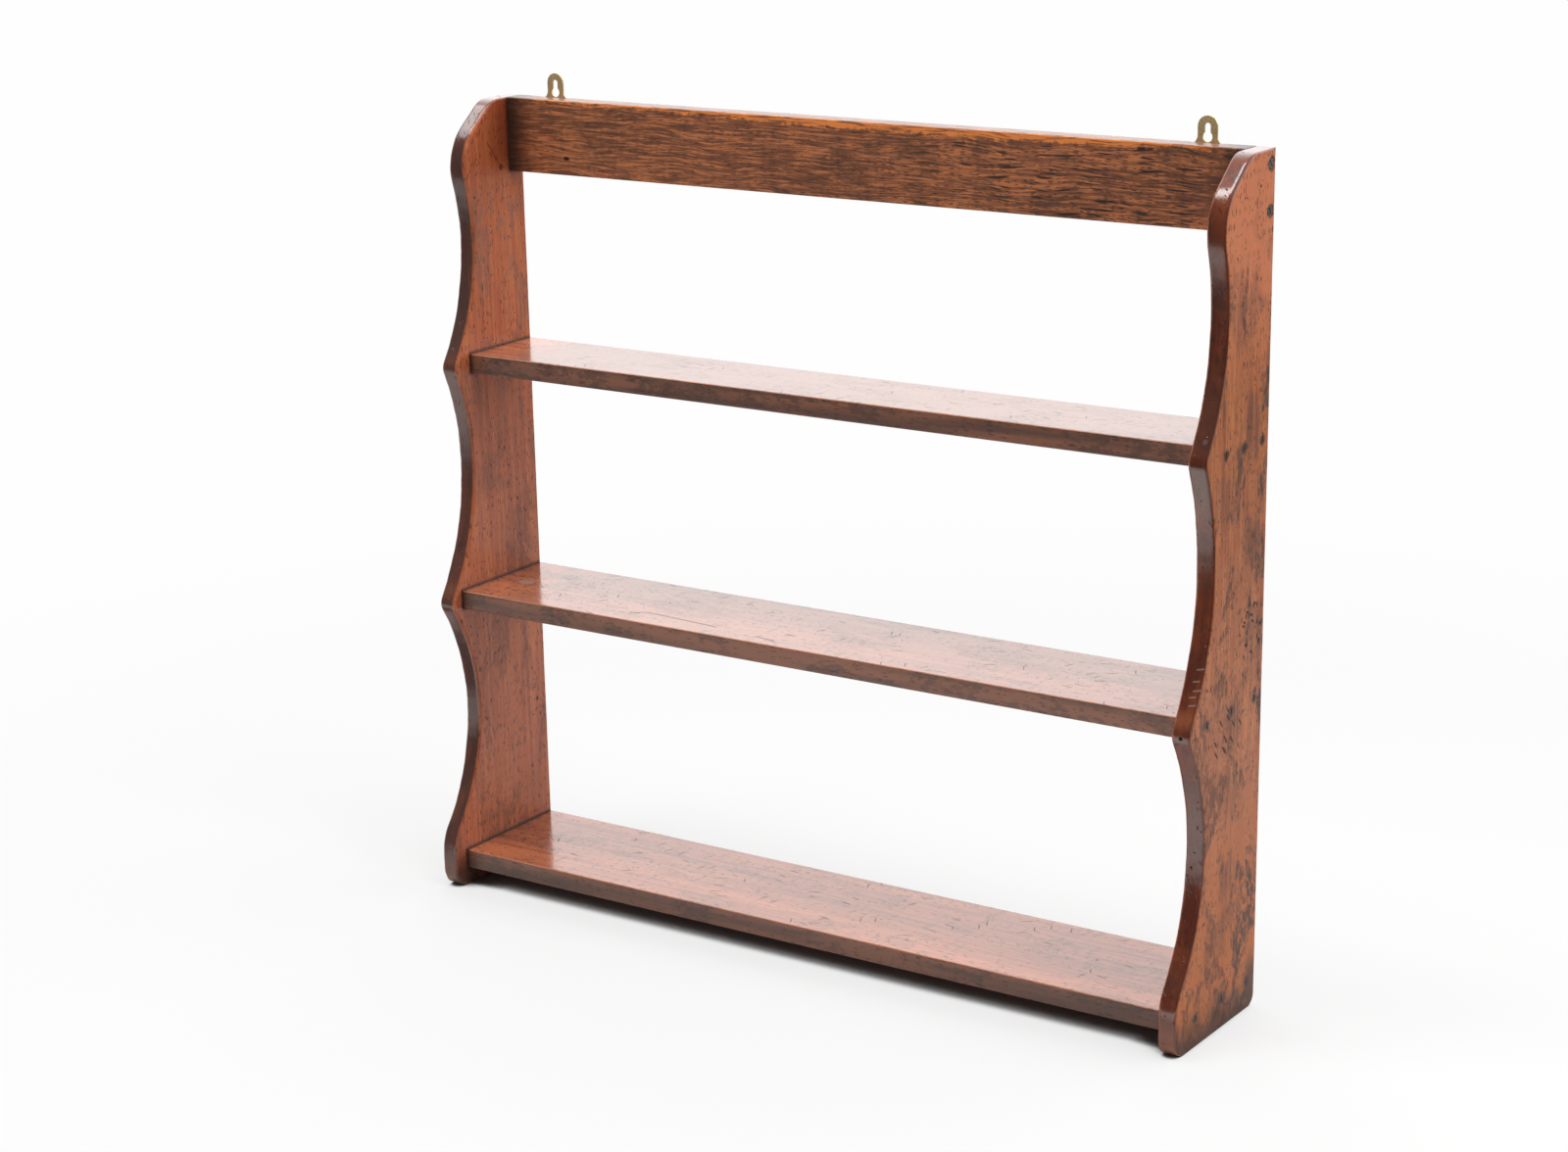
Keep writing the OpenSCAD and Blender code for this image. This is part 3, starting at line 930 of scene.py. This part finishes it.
def shelf_top_tone(wood, marks):
    """Red wood under a greyer, rubbed skin that the upper shelves have more of."""
    g = wood.g
    tone = g.mix(g.ramp(wood.figure, 0.40, 0.60), rgb(0.29, 0.070, 0.024), rgb(0.46, 0.130, 0.048))
    tone = g.mix(g.ramp(wood.ribbon, 0.44, 0.60, 0.0, 0.55), tone, rgb(0.52, 0.150, 0.055))
    tone = g.mix(g.ramp(wood.fibre, 0.40, 0.62, 0.0, 0.45), tone, rgb(0.19, 0.050, 0.020))
    rubbed = g.times(g.ramp(wood.x, -0.425, -0.350), g.ramp(wood.z, 0.10, 0.60, 0.10, 0.72, smooth=False))
    tone = g.mix(rubbed, tone, rgb(0.150, 0.082, 0.064))
    tone = g.mix(g.times(wood.grime, 0.35), tone, rgb(0.12, 0.058, 0.040))
    tone = g.mix(g.times(wood.pores, 0.8), tone, rgb(0.04, 0.016, 0.011))
    tone = g.mix(g.times(marks, 0.85), tone, rgb(0.035, 0.018, 0.016))
    ring = spot(g, wood.where, (*GREY_SPOT, SHELF_TOPS["middle_shelf"]), 0.0085, 1.5)
    return g.mix(g.times(ring, 0.55), tone, rgb(0.30, 0.250, 0.215))


def shelf_edge_tone(wood):
    """The duller front edge, darkest on the bottom shelf."""
    g = wood.g
    edge = g.mix(g.ramp(wood.figure, 0.40, 0.60), rgb(0.135, 0.064, 0.046), rgb(0.290, 0.118, 0.072))
    edge = g.mix(g.ramp(wood.ribbon, 0.46, 0.62, 0.0, 0.4), edge, rgb(0.300, 0.110, 0.050))
    edge = g.mix(g.ramp(wood.grime, 0.2, 0.8, 0.0, 0.6), edge, rgb(0.075, 0.042, 0.032))
    edge = g.mix(g.ramp(wood.z, 0.060, 0.020, 0.0, 0.35), edge, rgb(0.100, 0.055, 0.038))
    return g.mix(g.times(wood.pores, 0.5), edge, rgb(0.03, 0.014, 0.010))


def shelf_material():
    wood = Wood("shelf_mahogany_old", "x")
    g, shader = wood.g, wood.shader
    marks = shelf_marks(wood)
    front = g.ramp(wood.ny, -0.45, -0.85)
    tone = g.mix(front, shelf_top_tone(wood, marks), shelf_edge_tone(wood))
    worn = g.times(g.ramp(wood.ny, -0.12, -0.40), g.ramp(wood.nz, 0.25, 0.60))
    worn = g.times(worn, g.ramp(spots_of(g, wood.where), 0.35, 0.55, 0.35, 1.0))
    tone = g.mix(worn, tone, rgb(0.46, 0.170, 0.075))
    ends = g.ramp(g.math("ABSOLUTE", wood.x), INNER_X - 0.0052, INNER_X - 0.0004)
    tone = g.mix(g.times(ends, 0.8), tone, rgb(0.03, 0.014, 0.010))
    g.put(shader.inputs["Base Color"], tone)

    rough = g.ramp(wood.grime, 0.0, 1.0, 0.15, 0.22, smooth=False)
    rough = g.math("ADD", rough, g.centred(wood.fibre, 0.06))
    g.put(shader.inputs["Roughness"], g.mix_value(front, rough, 0.36))
    broken = g.most(marks, g.times(wood.pores, 0.2))
    g.put(shader.inputs["Specular IOR Level"], g.mix_value(g.times(broken, 0.80), 0.55, 0.0))
    wave = g.noise(g.vector("MULTIPLY", wood.where, (12.0, 45.0, 45.0)), 2.0, 0.5)
    wood.bump(wood.relief(wave, 0.35, 0.04, marks), 0.5, 0.0012)
    return wood.material


# ---- The rail's wood ---------------------------------------------------------

def rail_ticks(wood, plane):
    """Short dark strokes along the grain, with coarse ones towards the right."""
    g = wood.g
    fine = dashes(g, plane, 0, 0.016, 0.0026, 0.27, 0.50)
    fine = g.most(fine, dashes(g, plane, 3, 0.009, 0.0022, 0.27, 0.45))
    coarse = dashes(g, plane, -2, 0.090, 0.0062, 0.20, 0.60)
    coarse = g.most(coarse, dashes(g, plane, 4, 0.050, 0.0050, 0.20, 0.50))
    coarse = g.times(coarse, g.ramp(wood.x, -0.12, 0.20))
    return g.most(g.times(fine, g.ramp(wood.x, -0.40, 0.30, 0.45, 0.75)), coarse)


def rail_worn_arris(wood, lines):
    """The bright orange band along the top front arris, frayed, and wider right of the middle."""
    g = wood.g
    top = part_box("top_rail")[1].z
    wide = g.times(g.ramp(wood.x, -0.30, 0.0), g.ramp(wood.x, 0.42, 0.25))
    frayed = g.centred(g.noise(wood.where, 3.0, 0.7, 0.0, 130.0), 0.016)
    reach = g.math("SUBTRACT", top - 0.0028, g.times(wide, 0.0046))
    band = g.ramp(g.math("SUBTRACT", g.math("ADD", wood.z, frayed), reach), -0.0015, 0.0015)
    worn = g.times(band, g.ramp(lines, 0.44, 0.52, 0.25, 0.95))
    return g.times(worn, g.times(g.ramp(wood.nz, 0.90, 0.70), g.ramp(wood.ny, 0.2, -0.2)))


def rail_material():
    """Coarser, darker wood than the rest, with long open grain lines that wander."""
    wood = Wood("rail_dark_wood", "x")
    g, shader = wood.g, wood.shader
    wander = g.noise(g.vector("MULTIPLY", wood.where, (9.0, 30.0, 30.0)), 2.0, 0.5)
    bent = g.vector("ADD", wood.where, g.combine(0.0, 0.0, g.times(wander, 0.018)))
    lines = g.noise(g.vector("MULTIPLY", bent, (30.0, 540.0, 540.0)), 5.0, 0.68)
    ticks = rail_ticks(wood, board_plane(g, bent, "x"))
    tone = g.mix(g.ramp(wood.figure, 0.36, 0.62), rgb(0.250, 0.086, 0.038), rgb(0.370, 0.128, 0.054))
    tone = g.mix(g.ramp(lines, 0.50, 0.58, 0.0, 0.60), tone, rgb(0.78, 0.270, 0.100))
    tone = g.mix(g.ramp(lines, 0.48, 0.41, 0.0, 0.65), tone, rgb(0.100, 0.044, 0.030))
    tone = g.mix(ticks, tone, rgb(0.032, 0.014, 0.010))
    tone = g.mix(g.times(wood.grime, 0.40), tone, rgb(0.075, 0.036, 0.026))
    tone = g.mix(rail_worn_arris(wood, lines), tone, rgb(0.95, 0.290, 0.065))
    # A greyer top face: dust with a painted sheen.
    dust_and_sheen = g.times(g.ramp(wood.nz, 0.85, 0.97), 0.65)
    tone = g.mix(dust_and_sheen, tone, rgb(0.150, 0.100, 0.088))
    # Painted shade: the rail darkens over its last four centimetres towards each side.
    ends = g.ramp(g.math("ABSOLUTE", wood.x), INNER_X - 0.042, INNER_X - 0.002)
    tone = g.mix(g.times(ends, 0.88), tone, rgb(0.022, 0.014, 0.013))
    hole_x, hole_z = HOLE_IN_RAIL
    hole = spot(g, wood.where, (hole_x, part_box("top_rail")[0].y, hole_z), 0.0026, 1.9)
    tone = g.mix(hole, tone, rgb(0.006, 0.004, 0.004))
    g.put(shader.inputs["Base Color"], tone)
    g.put(shader.inputs["Roughness"], g.ramp(lines, 0.3, 0.7, 0.46, 0.30, smooth=False))
    wood.bump(g.math("ADD", g.times(lines, 0.35), g.times(ticks, -0.15)), 0.7, 0.0010)
    return wood.material


# ---- Metal -------------------------------------------------------------------

def metal_material(name, bright, dull, polish, metallic):
    """Old metal: a bright colour showing through a dull one, in fine clouds."""
    material, g, shader = new_material(name)
    where = g.add("ShaderNodeTexCoord").outputs["Object"]
    cloud = g.noise(where, 4.0, 0.65, 0.0, 380.0)
    grain = g.noise(where, 2.0, 0.6, 0.0, 1400.0)
    worn = g.ramp(g.math("ADD", g.times(cloud, 0.7), g.times(grain, 0.3)), 0.38, 0.62)
    g.put(shader.inputs["Base Color"], g.mix(worn, dull, bright))
    g.put(shader.inputs["Roughness"], g.ramp(worn, 0.0, 1.0, polish + 0.22, polish))
    shader.inputs["Metallic"].default_value = metallic
    bump = g.add("ShaderNodeBump", {"Height": grain, "Strength": 0.35, "Distance": 0.0003})
    g.put(shader.inputs["Normal"], bump.outputs[0])
    return material


# ---- The scene ---------------------------------------------------------------

make_camera()
make_floor()
make_world()
make_lights()

side_wood = side_material()
shelf_wood = shelf_material()
rail_wood = rail_material()
brass = metal_material("brass_tarnished", rgb(0.80, 0.62, 0.33), rgb(0.56, 0.42, 0.20), 0.40, 0.6)
steel = metal_material("steel_dull", rgb(0.17, 0.16, 0.155), rgb(0.055, 0.050, 0.048), 0.38, 0.8)
iron = metal_material("iron_dark", rgb(0.10, 0.085, 0.080), rgb(0.030, 0.024, 0.022), 0.42, 0.6)

add_sides()
add_shelves()
add_rail()
add_hardware()

bpy.context.scene.view_settings.view_transform = "Standard"
